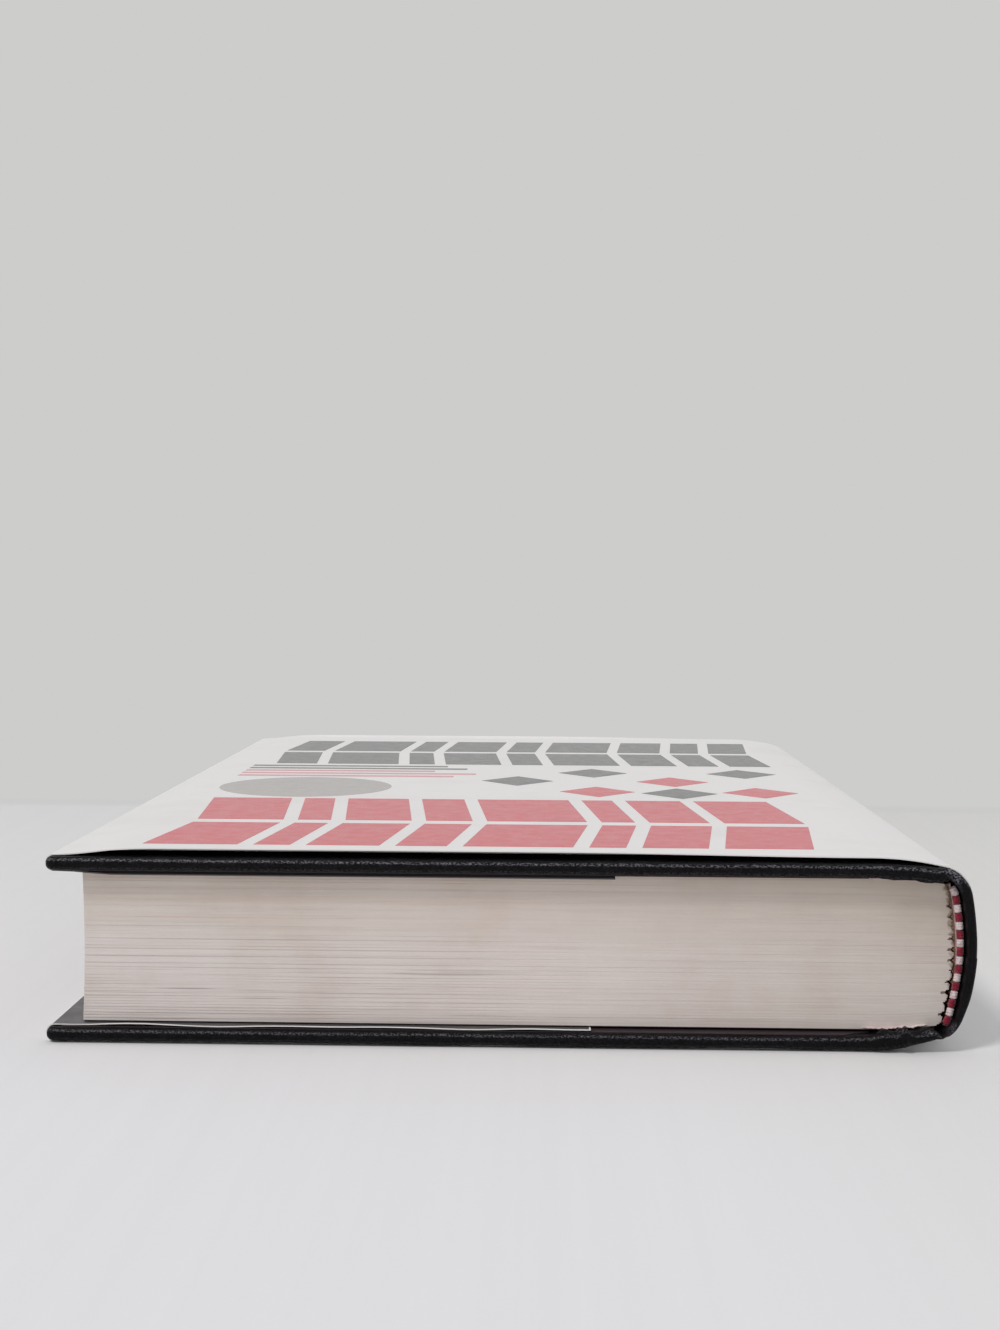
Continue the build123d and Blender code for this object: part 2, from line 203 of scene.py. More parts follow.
def finish_mesh(name, points, faces, material, sharp_angle=35):
    """A piece from points in millimetres and their faces, with the normals turned outwards."""
    mesh = bpy.data.meshes.new(name)
    mesh.from_pydata([Vector(leaned(*point)) * mm for point in points], [], faces)
    form = bmesh.new()
    form.from_mesh(mesh)
    bmesh.ops.remove_doubles(form, verts=form.verts, dist=merge_distance)
    bmesh.ops.dissolve_degenerate(form, edges=form.edges, dist=merge_distance)
    bmesh.ops.recalc_face_normals(form, faces=form.faces)
    form.to_mesh(mesh)
    form.free()
    mesh.shade_smooth()
    mesh.set_sharp_from_angle(angle=radians(sharp_angle))
    mesh.materials.append(material)
    return add_object(name, mesh)


def grid_faces(rows, columns, first=0):
    """Quads over points that were added row by row."""
    faces = []
    for row in range(rows - 1):
        for column in range(columns - 1):
            corner = first + row * columns + column
            faces.append((corner, corner + 1, corner + columns + 1, corner + columns))
    return faces


def rim_faces(rows, columns, inner_first):
    """Quads round the edge of two equal grids, the second of which starts at inner_first."""
    edge = [(0, column) for column in range(columns)]
    edge += [(row, columns - 1) for row in range(1, rows)]
    edge += [(rows - 1, column) for column in reversed(range(columns - 1))]
    edge += [(row, 0) for row in reversed(range(1, rows - 1))]
    loop = [row * columns + column for row, column in edge]
    faces = []
    for corner, after in zip(loop, loop[1:] + loop[:1]):
        faces.append((corner, after, inner_first + after, inner_first + corner))
    return faces


def tube_faces(rings, around, capped=True):
    """Quads round a tube with this many rings of points, and a face at each end."""
    faces = []
    for first in range(0, (rings - 1) * around, around):
        for corner in range(around):
            after = first + (corner + 1) % around
            faces.append((first + corner, after, after + around, first + corner + around))
    if capped:
        faces += [tuple(range(around)), tuple(range((rings - 1) * around, rings * around))]
    return faces


def sheet_form(line, y_places, thickness, side, shift=None):
    """Points and faces of a sheet round its middle line. shift(arc, y) moves a point along the normal."""
    points = []
    for offset in (thickness / 2, -thickness / 2):
        for (x, z, normal_x, normal_z), arc in zip(line, reaches(line)):
            for y in y_places:
                away = offset + (shift(arc, y) if shift else 0)
                points.append(on_side((x + normal_x * away, y, z + normal_z * away), side))
    rows, columns = len(line), len(y_places)
    count = rows * columns
    faces = grid_faces(rows, columns) + grid_faces(rows, columns, count)
    return points, faces + rim_faces(rows, columns, count)


# Shader nodes

# Nearly all values of the noise texture, and the wave texture's scale for one thread to the millimetre
usual_noise = (0.3, 0.7)
thread_scale = 160


def linear(red, green, blue):
    """A colour given in 0 to 255 as the linear one that a shader takes."""
    steps = []
    for value in (red, green, blue):
        share = value / 255
        steps.append(share / 12.92 if share <= 0.04045 else ((share + 0.055) / 1.055) ** 2.4)
    return (*steps, 1)


def new_material(name, colour, roughness, coat=0, coat_roughness=0.1, sheen=0, specular=0.5):
    """A material and its shader, with everything that is the same all over it."""
    made = bpy.data.materials.new(name)
    made.use_nodes = True
    shader = made.node_tree.nodes["Principled BSDF"]
    shader.inputs["Base Color"].default_value = linear(*colour)
    sockets = ("Roughness", "Coat Weight", "Coat Roughness", "Sheen Weight", "Specular IOR Level")
    for socket, value in zip(sockets, (roughness, coat, coat_roughness, sheen, specular)):
        shader.inputs[socket].default_value = value
    return made, shader


def add_node(made, kind, **settings):
    """A node; a setting with the name of an input goes to that input."""
    node = made.node_tree.nodes.new("ShaderNode" + kind)
    for name, value in settings.items():
        socket = node.inputs.get(name.replace("_", " "))
        if socket is not None and not hasattr(node, name):
            socket.default_value = value
        else:
            setattr(node, name, value)
    return node


def join(made, start, end):
    """Leads an output, or puts a number, into an input."""
    if isinstance(start, (int, float)):
        end.default_value = start
    else:
        made.node_tree.links.new(start, end)


def computed(made, operation, *values):
    """The result of a sum with outputs and numbers."""
    node = add_node(made, "Math", operation=operation)
    for value, socket in zip(values, node.inputs):
        join(made, value, socket)
    return node.outputs[0]


def product(made, value, *others):
    for other in others:
        value = computed(made, "MULTIPLY", value, other)
    return value


def plain_colour(made, colour):
    node = add_node(made, "RGB")
    node.outputs[0].default_value = linear(*colour)
    return node.outputs[0]


def object_axes(made):
    """X, Y and Z in the piece's own space, in metres."""
    split = add_node(made, "SeparateXYZ")
    join(made, add_node(made, "TexCoord").outputs["Object"], split.inputs[0])
    return [split.outputs[axis] for axis in "XYZ"]


def place_in(made, scale=(1, 1, 1)):
    """Object space, stretched by a scale for each axis."""
    mapping = add_node(made, "Mapping")
    mapping.inputs["Scale"].default_value = scale
    join(made, add_node(made, "TexCoord").outputs["Object"], mapping.inputs["Vector"])
    return mapping.outputs["Vector"]


def grain(made, size, detail=4, roughness=0.6, scale=(1, 1, 1)):
    """Noise over the piece. A size of 1000 has one cell to the millimetre."""
    texture = add_node(made, "TexNoise", Scale=size, Detail=detail, Roughness=roughness)
    join(made, place_in(made, scale), texture.inputs["Vector"])
    return texture.outputs["Fac"]


def shades(made, value, colours, stops=(0.3, 0.5, 0.7)):
    """Colours along a value."""
    ramp = add_node(made, "ValToRGB")
    for stop in stops[1:-1]:
        ramp.color_ramp.elements.new(stop)
    for element, colour, stop in zip(ramp.color_ramp.elements, colours, stops):
        element.position = stop
        element.color = linear(*colour)
    join(made, value, ramp.inputs["Fac"])
    return ramp.outputs["Color"]


def mixed(made, value, first, second, blend_type="MIX"):
    """Two colour outputs mixed by a value, which is an output or a number."""
    mix = add_node(made, "Mix", data_type="RGBA", blend_type=blend_type)
    join(made, value, mix.inputs[0])
    join(made, first, mix.inputs[6])
    join(made, second, mix.inputs[7])
    return mix.outputs[2]


def tinted(made, colour, value, tints, stops=(0.3, 0.5, 0.7)):
    """A colour output multiplied by tints that change along a value."""
    return mixed(made, 1.0, colour, shades(made, value, tints, stops), "MULTIPLY")


def stretched(made, value, start, end, new_start=0, new_end=1):
    """A value moved from one range to another and kept inside it."""
    node = add_node(made, "MapRange")
    for name, number in zip(("From Min", "From Max", "To Min", "To Max"), (start, end, new_start, new_end)):
        node.inputs[name].default_value = number
    join(made, value, node.inputs["Value"])
    return node.outputs["Result"]


def along(made, axis, run, shares=(0, 1)):
    """The share of a run of millimetres that a place on an axis has passed."""
    return stretched(made, axis, run[0] * mm, run[1] * mm, *shares)


def bumped(made, shader, height, depth, strength=1):
    """Relief on a shader, or under another relief, this many metres deep."""
    bump = add_node(made, "Bump", Strength=strength, Distance=depth)
    join(made, height, bump.inputs["Height"])
    join(made, bump.outputs["Normal"], shader.inputs["Normal"])
    return bump


def roughened(made, size, least, most):
    """Roughness that varies over the piece."""
    rough = stretched(made, grain(made, size), *usual_noise, least, most)
    join(made, rough, made.node_tree.nodes["Principled BSDF"].inputs["Roughness"])
    return made


def mottled(name, colours, stops, sizes, depth, details=(4, 4), **finish):
    """A material with patches of colour and a fine relief, each with its grain's size and detail."""
    made, shader = new_material(name, colours[1], **finish)
    tone = shades(made, grain(made, sizes[0], details[0]), colours, stops)
    join(made, tone, shader.inputs["Base Color"])
    bumped(made, shader, grain(made, sizes[1], details[1]), depth)
    return made


# Paper, ink, glue, thread and board


def paper_material(name, colours, roughness, fibre_depth=0.00001):
    """Plain paper: a slow change of tone and fine fibres."""
    stops = (0.35, 0.5, 0.65)
    return mottled(name, colours, stops, (60, 2600), fibre_depth, roughness=roughness)


def jacket_paper():
    """Coated white paper, a little mottled, with a soft gloss."""
    colours = ((240, 238, 236), (241, 239, 237), (238, 235, 232))
    finish = {"roughness": 0.5, "coat": 0.25, "coat_roughness": 0.3}
    made = mottled("jacket_paper_white", colours, (0.38, 0.5, 0.66), (45, 1800), 0.000006, **finish)
    return roughened(made, 220, 0.42, 0.6)


def print_ink(name, colours, roughness, coat):
    """Printed ink: a solid that lies unevenly, with the paper's gloss over it."""
    finish = {"roughness": roughness, "coat": coat, "coat_roughness": 0.2}
    made = mottled(name, colours, (0.36, 0.5, 0.68), (90, 2100), 0.000005, (6, 4), **finish)
    return roughened(made, 300, roughness * 0.8, roughness * 1.25)


def glue_stain(name, colours):
    """Brittle glue on the backs of the sections, brown and uneven."""
    finish = {"roughness": 0.45, "coat": 0.2, "coat_roughness": 0.4}
    return mottled(name, colours, (0.3, 0.5, 0.7), (700, 1400), 0.00008, (5, 4), **finish)


def thread_material(name, colours):
    """Spun thread: fine strands and a little fuzz."""
    finish = {"roughness": 0.8, "sheen": 0.35, "specular": 0.2}
    return mottled(name, colours, (0.3, 0.5, 0.72), (1900, 4200), 0.00006, (3, 2), **finish)


def grey_board():
    """Binder's board, grey with pale and dark fibres."""
    colours = ((104, 99, 92), (142, 136, 128), (170, 164, 154))
    finish = {"roughness": 0.9, "specular": 0.2}
    stops = (0.32, 0.5, 0.7)
    return mottled("binder_board_grey", colours, stops, (1300, 1600), 0.00005, (6, 4), **finish)


def woven_material(name, colours, threads_per_mm):
    """Open cotton weave: two sets of threads at right angles."""
    made, shader = new_material(name, colours[0], 0.85, sheen=0.2, specular=0.2)
    place = place_in(made)
    heights = []
    for direction in ("Y", "DIAGONAL"):
        settings = {"bands_direction": direction, "Scale": threads_per_mm * thread_scale, "Distortion": 0.6}
        wave = add_node(made, "TexWave", **settings)
        join(made, place, wave.inputs["Vector"])
        heights.append(wave.outputs["Fac"])
    weave = computed(made, "MAXIMUM", *heights)
    join(made, shades(made, weave, colours, (0.2, 0.8)), shader.inputs["Base Color"])
    bumped(made, shader, weave, 0.00008)
    return made


# The case's covering

leather_blacks = ((3, 3, 4), (6, 5, 7), (11, 9, 12))
# Pale grey for the painted highlight on edges that catch the light, and faintly for speckle all over the
# grain
highlight_and_speckle_grey = (116, 113, 121)
highlight_at_edges = 1.8
rub_everywhere = 0.04


def leatherette():
    """Black book cloth with a fine pebbled grain, and a pale painted highlight where the mesh's attribute
    marks edges that catch the light.
    """
    made, shader = new_material("case_leatherette", (8, 7, 9), 0.5, specular=0.1)
    tone = shades(made, grain(made, 500), leather_blacks, (0.3, 0.52, 0.75))
    speckle = stretched(made, grain(made, 3800, 1, scale=(0.7, 1, 1)), 0.42, 0.74)
    # Painted highlight: the speckle turns pale grey where the attribute marks edges that catch the light
    painted_highlight = add_node(made, "Attribute", attribute_name="painted_highlight").outputs["Fac"]
    pale_share = product(made, speckle, computed(made, "MULTIPLY_ADD", painted_highlight, highlight_at_edges, rub_everywhere))
    colour = mixed(made, pale_share, tone, plain_colour(made, highlight_and_speckle_grey))
    join(made, colour, shader.inputs["Base Color"])
    roughened(made, 800, 0.34, 0.56)
    cells = add_node(made, "TexVoronoi", feature="SMOOTH_F1", Scale=1500, Smoothness=0.35)
    join(made, place_in(made), cells.inputs["Vector"])
    pebbles = stretched(made, cells.outputs["Distance"], 0.1, 0.75)
    fine = bumped(made, shader, pebbles, 0.00005, strength=0.55)
    bumped(made, fine, grain(made, 260, 5), 0.00012, strength=0.35)
    return made


# The page edges' colours, and where on the block they change, in millimetres from and to
fine_line_tones = ((214, 206, 201), (226, 220, 216), (231, 226, 222))
wide_line_tones = ((222, 214, 210), (228, 222, 219), (232, 226, 223))
spine_tints = ((255, 255, 255), (255, 252, 251), (240, 238, 235))
spine_tint_run = (-60, 70)
stain_tints = ((240, 233, 226), (250, 247, 245), (255, 254, 252))
shade_and_browning_tints = ((255, 255, 255), (247, 245, 242), (255, 252, 245))
shade_and_browning_run = (14, 29)
foxing_tones = ((222, 204, 190), (216, 190, 172))
foxing_rise = (18, 27)
foxing_run = (20, -60)
gap_shade_tone = (150, 136, 132)
gap_rise = (22, 4)
gap_run = (30, -70)
gap_end_run = (100, 112)
glue_tones = ((70, 58, 38), (112, 92, 66), (140, 120, 96))
glue_ragged = 2.6
glue_rim = (0.9, 1.7)
glue_run = (40, 60)


def leaf_grain(made, size, detail, stretch, roughness=0.6):
    """Noise drawn out along the leaves."""
    return grain(made, size, detail, roughness, (stretch, stretch, 1))


def page_lines(made):
    """Fine and wide lines along the leaves."""
    fine = shades(made, leaf_grain(made, 1500, 5, 0.03, 0.7), fine_line_tones)
    wide = shades(made, leaf_grain(made, 300, 3, 0.02), wide_line_tones, (0.32, 0.5, 0.7))
    return mixed(made, 0.5, fine, wide)


def page_tints(made, leaves, x, z):
    """Slow changes towards the spine and in patches, and with the height a band of painted shade under the
    top board's overhang and browning at the top.
    """
    leaves = tinted(made, leaves, along(made, x, spine_tint_run), spine_tints, (0.0, 0.5, 1.0))
    leaves = tinted(made, leaves, grain(made, 35, 5), stain_tints)
    # Painted shade in the middle of this run, where the shadow of the top board's overhang fades, and
    # browning at the very top
    return tinted(made, leaves, along(made, z, shade_and_browning_run), shade_and_browning_tints, (0.0, 0.55, 1.0))


def page_foxing(made, leaves, x, z):
    """Brown streaks high up near the fore-edge."""
    streaks = stretched(made, leaf_grain(made, 900, 4, 0.012), 0.5, 0.68)
    foxed = product(made, streaks, along(made, z, foxing_rise), along(made, x, foxing_run))
    return mixed(made, foxed, leaves, shades(made, foxed, foxing_tones, (0.0, 1.0)))


def page_gaps(made, leaves, x, y, z):
    """Painted shade in the gaps between leaves, most of it low near the fore-edge, and at the head and tail.
    """
    gaps = stretched(made, leaf_grain(made, 1100, 2, 0.02), 0.36, 0.3)
    at_end = along(made, computed(made, "ABSOLUTE", y), gap_end_run, (0.4, 1.0))
    near_fore = along(made, x, gap_run, (0.15, 1.0))
    dark = product(made, gaps, at_end, along(made, z, gap_rise), near_fore)
    return mixed(made, dark, leaves, plain_colour(made, gap_shade_tone))


def spine_glue_rim(made, leaves, x, z):
    """Ragged glue along the rounded back, where it has crept between the sections."""
    across = add_node(made, "CombineXYZ")
    join(made, x, across.inputs["X"])
    join(made, z, across.inputs["Z"])
    away = add_node(made, "VectorMath", operation="DISTANCE")
    join(made, across.outputs[0], away.inputs[0])
    away.inputs[1].default_value = (x_spine_centre * mm, 0, z_middle * mm)
    ragged = computed(made, "MULTIPLY_ADD", grain(made, 1100, 5), glue_ragged * mm, away.outputs["Value"])
    back = spine_radius - notch_depth
    at_back = along(made, ragged, (back + glue_rim[0], back + glue_rim[1]))
    glued = product(made, at_back, along(made, x, glue_run))
    return mixed(made, glued, leaves, shades(made, grain(made, 900), glue_tones))


def page_edges():
    """Cut edges of many leaves, with lines, stains, gaps and glue at the back."""
    made, shader = new_material("page_edges", (212, 203, 196), 0.75, specular=0.25)
    x, y, z = object_axes(made)
    leaves = page_tints(made, page_lines(made), x, z)
    leaves = page_gaps(made, page_foxing(made, leaves, x, z), x, y, z)
    join(made, spine_glue_rim(made, leaves, x, z), shader.inputs["Base Color"])
    bumped(made, shader, leaf_grain(made, 2400, 3, 0.05), 0.00004, strength=0.6)
    return made


# The materials of this book

leather = leatherette()
white_paper = jacket_paper()
pages_finish = page_edges()
board_finish = grey_board()
# The flap's dark grey print, also used on the front flap's edge past the pages as painted shade under the
# board
flap_ink_and_edge_shade = print_ink("flap_grey", ((84, 80, 82), (85, 81, 83), (83, 79, 81)), 0.5, 0.15)
black_paper = paper_material("endpaper_black", ((47, 34, 40), (43, 30, 36), (51, 38, 44)), 0.62)
lining_paper = paper_material("lining_kraft", ((168, 150, 128), (150, 132, 112), (180, 164, 142)), 0.85)
torn_tones = ((236, 224, 221), (220, 196, 197), (243, 235, 232))
torn_paper = paper_material("torn_paper", torn_tones, 0.85, 0.00003)
brown_glue = glue_stain("spine_glue_brown", ((74, 44, 40), (118, 80, 70), (150, 118, 96)))
notch_glue = glue_stain("notch_glue_dun", ((104, 90, 74), (134, 118, 100), (158, 142, 122)))
# Red and white thread, with the colours darkened as painted shade, since the bands lie in shade
threads = {
    "red": thread_material("thread_red", ((84, 12, 30), (130, 19, 43), (162, 44, 68))),
    "white": thread_material("thread_white", ((184, 160, 160), (216, 198, 198), (232, 220, 218))),
}
mull_weave = woven_material("mull_weave", ((150, 138, 122), (214, 204, 188)), 1.2)
tape_weave = woven_material("band_tape_weave", ((160, 118, 112), (206, 176, 168)), 2.4)
inks = {
    "jacket_print_red": ("ink_red", ((217, 28, 57), (220, 31, 60), (212, 26, 55)), 0.32, 0.5),
    "jacket_print_dark": ("ink_dark", ((50, 49, 50), (54, 53, 54), (46, 45, 47)), 0.3, 0.5),
    "jacket_print_pink": ("ink_pink", ((222, 150, 156), (224, 154, 160), (218, 146, 153)), 0.36, 0.4),
    "jacket_seal": ("ink_silver", ((176, 170, 166), (179, 173, 169), (172, 166, 162)), 0.34, 0.5),
}

# Nodes that keep their solids
node_finishes = [
    (brown_glue, ["spine_glue"]),
    (lining_paper, ["spine_lining"]),
    (mull_weave, ["spine_mull", "front_mull_wing", "back_mull_wing"]),
    (board_finish, ["front_board", "back_board"]),
    (tape_weave, ["head_band_tape", "tail_band_tape"]),
    *((print_ink(*ink), [name]) for name, ink in inks.items()),
]
for finish, names in node_finishes:
    for name in names:
        node_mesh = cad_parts[name].data
        node_mesh.materials.clear()
        node_mesh.materials.append(finish)


# The place on both sides of the crease where cloth, jacket and endpapers would bend as a cover opens; no
# bend is made

bend_reaches = (0.9, -1.7)


def blend_to_cover(piece, side, start, end):
    """Works out the bend's two ends for a piece, then bakes the piece's transform into its mesh on either
    side; no bend is made.
    """
    start, end = (Vector(on_side(point, side)) * mm for point in (start, end))
    if side == "back":
        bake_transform(piece)
    else:
        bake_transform(piece)


def bend_across_hinge(piece, side):
    """Works out where the sheet would bend on both sides of the crease and passes it on; the sheet is not
    bent.
    """
    lean = radians(crease_angle)
    ends = [(x_crease + reach * sin(lean), 0, z_crease - reach * cos(lean)) for reach in bend_reaches]
    blend_to_cover(piece, side, *ends)


# Case: cloth over each board and over the spine, in two halves that meet at the spine's middle

case_cover_counts = (44, 14)
case_spine_counts = (12, 14)
case_row_count = 24
arris_radius = 1.0
arris_steps = 6
ring_insets = (6.0, 2.2)
case_plan_corner = 1.5
plan_corner_steps = 5
corner_arcs = (12.0, 9.0, 6.0, 4.0, 2.6)
case_seeds = {"front": 40, "back": 80}
case_y_reach = cover_height / 2 - turn_in_width
case_y_places = spread(-case_y_reach, case_y_reach, case_row_count)

# The outer line of half the case, from the fore-edge to the spine's middle
case_line = cover_line(x_fore, x_crease, 0, *case_cover_counts) + spine_line(0, *case_spine_counts)[1:]
case_arcs = reaches(case_line)

# The case is thicker over the boards than over the spine, and changes within this run at the crease
thinning_run = (-0.6, 0.5)

# Cloth that is pushed out of the joint at its ends
puff_sizes = {"front": 0.3, "back": 1.4}
puff_reach = 3.2
puff_begins = (-1, 3)
puff_ends = (1, -2)
puff_level = 0.7
puff_change = 1.1
puff_overhang = 0.5
puff_overhang_reach = 1.6
wrinkle_slant = (0.5, 0.35)
wrinkle_spacing = 0.2
fine_wrinkle = 0.5
fine_wrinkle_spacing = 1.4
board_lump = 0.1
lump_spacing = 0.09

# The joint sinks under the jacket, most at the book's ends and at the lip of the crease
joint_sinks = {"front": 0, "back": 0.4}
end_sinks = {"front": 0, "back": 0.6}
end_sink_run = (14, 1)
sink_start = 2.4
sink_full = 1.2
sink_corner_run = (-4, -0.5)
lip_sink = 0.45
lip_width = 1.6

# The fold between the joint and the spine's head and tail
fold_height = 0.28
fold_offset = (0.2, 1.2)
fold_slant = (0.8, 0.45)
fold_width = 0.35
fold_fade = (4, 1.5)

# Where a highlight is painted on the grain: rounded edges that lean up towards the light, and the fold at
# the head and tail
highlight_middle = 0.55
highlight_spread = 0.3
highlight_side_run = (0.2, 0.5)
highlight_height_run = (1, 3)
under_highlight = 0.2
highlight_shares = {"front": 0.85, "back": 0.55}
fold_run = (1.3, 1.9)
fold_highlight_most = 1.6
fold_highlight_width = 0.45
fold_highlight_reach = 1.5
fold_highlight_facing = 0.3


def on_case(arc):
    """The case line's point and normal at a distance along it, between two of its points."""
    beyond = next((index for index, reached in enumerate(case_arcs) if reached > arc), len(case_arcs))
    index = max(0, min(len(case_arcs) - 2, beyond - 1))
    share = (arc - case_arcs[index]) / (case_arcs[index + 1] - case_arcs[index])
    return [a + (b - a) * share for a, b in zip(case_line[index], case_line[index + 1])]


def sinking(side, x, y, z):
    """How far the joint sinks there: it grows across the joint and fades round the spine's corner."""
    share = lip_sink * hill(hypot(x - x_crease, z - z_crease), lip_width)
    if x <= x_crease and z > z_crease - corner_radius / 2:
        share += smooth_share(x, x_joint + sink_start, x_crease - sink_full)
    else:
        share += smooth_share(z, z_corner + sink_corner_run[0], z_crease + sink_corner_run[1])
    near_end = smooth_share(cover_height / 2 - abs(y), *end_sink_run)
    return (joint_sinks[side] + end_sinks[side] * near_end) * share


def case_thickness(x, z, in_window):
    """Thickness of board or card with its cloth. The window is where no cloth is turned in."""
    over_spine = x - x_crease - (z_crease - z) * sin(radians(90 - crease_angle))
    depths = (board_inner_depth, spine_window_depth) if in_window else (turn_in_depth, case_inner_depth)
    return depths[0] + (depths[1] - depths[0]) * smooth_share(over_spine, *thinning_run)


def case_point(side, arc, y, depth, from_inner, in_window=False):
    """A point of the covering, with the puff, lump, fold and sinking of that place."""
    x, z, normal_x, normal_z = on_case(arc)
    thickness = case_thickness(x, z, in_window)
    deep = min(arris_radius, thickness / 2) * depth
    away = thickness - deep if from_inner else deep
    inner_share = away / thickness
    edge = cover_height / 2 - abs(y)
    in_joint = smooth_share(x - x_joint, *puff_begins) * smooth_share(x - x_crease, *puff_ends)
    near_end = smooth_share(edge, puff_reach, puff_reach / 2)
    seed = case_seeds[side]
    spot = Vector((arc, y, seed))
    slanted = noise_at(arc * wrinkle_slant[0] + y * wrinkle_slant[1], y * wrinkle_spacing, seed)
    wrinkle = slanted + fine_wrinkle * noise.noise(spot * fine_wrinkle_spacing)
    puff = in_joint * near_end * puff_sizes[side] * (puff_level + puff_change * wrinkle)
    lump = board_lump * (1 - in_joint) * near_end * noise.noise(spot * lump_spacing)
    if inner_share >= 0.5:
        lump = -lump
    along_fold = (x - x_crease + fold_offset[0]) * fold_slant[0] + (edge - fold_offset[1]) * fold_slant[1]
    fold = fold_height * hill(along_fold, fold_width) * smooth_share(edge, *fold_fade)
    sink = sinking(side, x, y, z)
    height = lump + (fold - sink) * (1 - inner_share) - puff * inner_share - away
    overhang = puff * puff_overhang * smooth_share(edge, puff_overhang_reach, 0)
    place = (x + normal_x * height, y + overhang * (1 if y > 0 else -1), z + normal_z * height)
    return on_side(place, side)


def case_ring(side, inset, depth, from_inner, in_window=False):
    """One line round the cover's three edges, this far inside them."""
    y_edge = inset - cover_height / 2
    plan = [(arc, y_edge) for arc in reversed(case_arcs) if arc > turn_in_width]
    plan += [(max(arc, inset), y_edge) for arc in corner_arcs]
    centre = max(case_plan_corner, inset)
    corner = centre - inset
    for turn in spread(0, pi / 2, plan_corner_steps):
        plan.append((centre - corner * sin(turn), centre - cover_height / 2 - corner * cos(turn)))
    fore = [(inset, y) for y in case_y_places[1:-1]]
    tail = [(arc, -y) for arc, y in reversed(plan)]
    return [case_point(side, arc, y, depth, from_inner, in_window) for arc, y in plan + fore + tail]


def case_rings():
    """The case's edge profile: distance in from the edge, share of half the thickness, and which face."""
    outer = [(inset, 0) for inset in (turn_in_width, *ring_insets)]
    outer += [(arris_radius * (1 - sin(turn)), 1 - cos(turn)) for turn in spread(0, pi / 2, arris_steps)]
    return [(*ring, 0) for ring in outer] + [(*ring, 1) for ring in reversed(outer)]


def case_form(side):
    """Points and faces of the cloth over one board and half the spine."""
    rings = [case_ring(side, *ring) for ring in case_rings()]
    rings.append(case_ring(side, turn_in_width, 0, 1, True))
    count = len(rings[0])
    points = [point for ring in rings for point in ring]
    faces = grid_faces(len(rings), count)
    head_ends = [index * count for index in range(len(rings))]
    tail_ends = [first + count - 1 for first in head_ends]
    inner_arcs = [turn_in_width] + [arc for arc in case_arcs if arc > turn_in_width]
    columns = len(case_y_places)
    last_rows = []
    for from_inner in (0, 1):
        first = len(points)
        for arc in inner_arcs:
            points += [case_point(side, arc, y, 0, from_inner, bool(from_inner)) for y in case_y_places]
        faces += grid_faces(len(inner_arcs), columns, first)
        last_rows.append(list(range(len(points) - columns, len(points))))
    faces.append(head_ends + last_rows[1] + tail_ends[::-1] + last_rows[0][::-1])
    return points, faces


def fold_highlight(spot, normal):
    """A highlight is also painted along the fold between the joint and the spine's head and tail."""
    if abs(normal.y) < fold_highlight_facing or abs(abs(spot.y) - cover_height / 2) > fold_highlight_reach:
        return 0
    x, z = spot.x - x_crease, z_crease - z_middle - abs(spot.z - z_middle)
    length = hypot(*fold_run)
    run = min(1, max(0, (x * fold_run[0] + z * fold_run[1]) / length**2))
    return fold_highlight_most * hill(hypot(x - run * fold_run[0], z - run * fold_run[1]), fold_highlight_width)


def mark_painted_highlight(piece, most):
    """Marks the rounded edges that lean up towards the light, for the material to paint a highlight there.
    """
    painted_highlight = piece.data.attributes.new("painted_highlight", "FLOAT", "POINT")
    for index, vertex in enumerate(piece.data.vertices):
        normal = vertex.normal
        # Painted highlight: strongest where the normal leans up at the edges, weak on edges that face down
        pale_share = max(0, 1 - abs(abs(normal.z) - highlight_middle) / highlight_spread)
        pale_share *= smooth_share(hypot(normal.x, normal.y), *highlight_side_run)
        pale_share *= smooth_share(abs(vertex.co.z / mm - z_middle), *highlight_height_run)
        if normal.z <= 0:
            pale_share *= under_highlight
        painted_highlight.data[index].value = most * max(pale_share, fold_highlight(vertex.co / mm, normal))


def make_case(side):
    piece = finish_mesh(side + "_case_leatherette", *case_form(side), leather, sharp_angle=50)
    mark_painted_highlight(piece, highlight_shares[side])
    bend_across_hinge(piece, side)
    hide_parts(side + "_cloth", "spine_cloth", "spine_inlay")


# Paper jacket: each half runs from its flap's end round the fore-edge to the spine's middle

jacket_middle = jacket_clearance + jacket_thickness / 2
z_jacket = z_front + jacket_middle
z_flap = z_front - pastedown_depth - jacket_thickness / 2
flap_count = 29
fore_fold_count = 14
rise_count = 12
panel_count = 44
jacket_spine_counts = (10, 14)
jacket_y_count = 46
jacket_edge_count = 3
jacket_y_gap = 1.5
jacket_seeds = {"front": 3, "back": 4}

# The spine's part isn't quite flat
panel_reach = 142.0
panel_fade = 8
wave_height = 0.06
wave_spacing = (0.05, 0.035)
wave_drop = 0.4

# The flap's edge curls past the pages' ends, and the front panel's lifts a little
page_end_margin = 0.1
flap_curls = {"front": (0.6, 0, 0.07, 1, 0), "back": (0.22, 0.4, 0.07, 1, 0)}
curl_run = (-2, -12)
edge_lift = 0.45
lift_run = (8, 20)
lift_end = 90

# The back flap is folded a little out of square
flap_skew = 0.7
flap_skew_run = 14

# The print on the flap stops at its white cut edge. Past the pages' ends the front flap's edge is coloured
# dark grey as painted shade under the board
flap_margin = 0.3
flap_print_start = 1
flap_print_facing = 0.7
edge_shade_height = 0.5


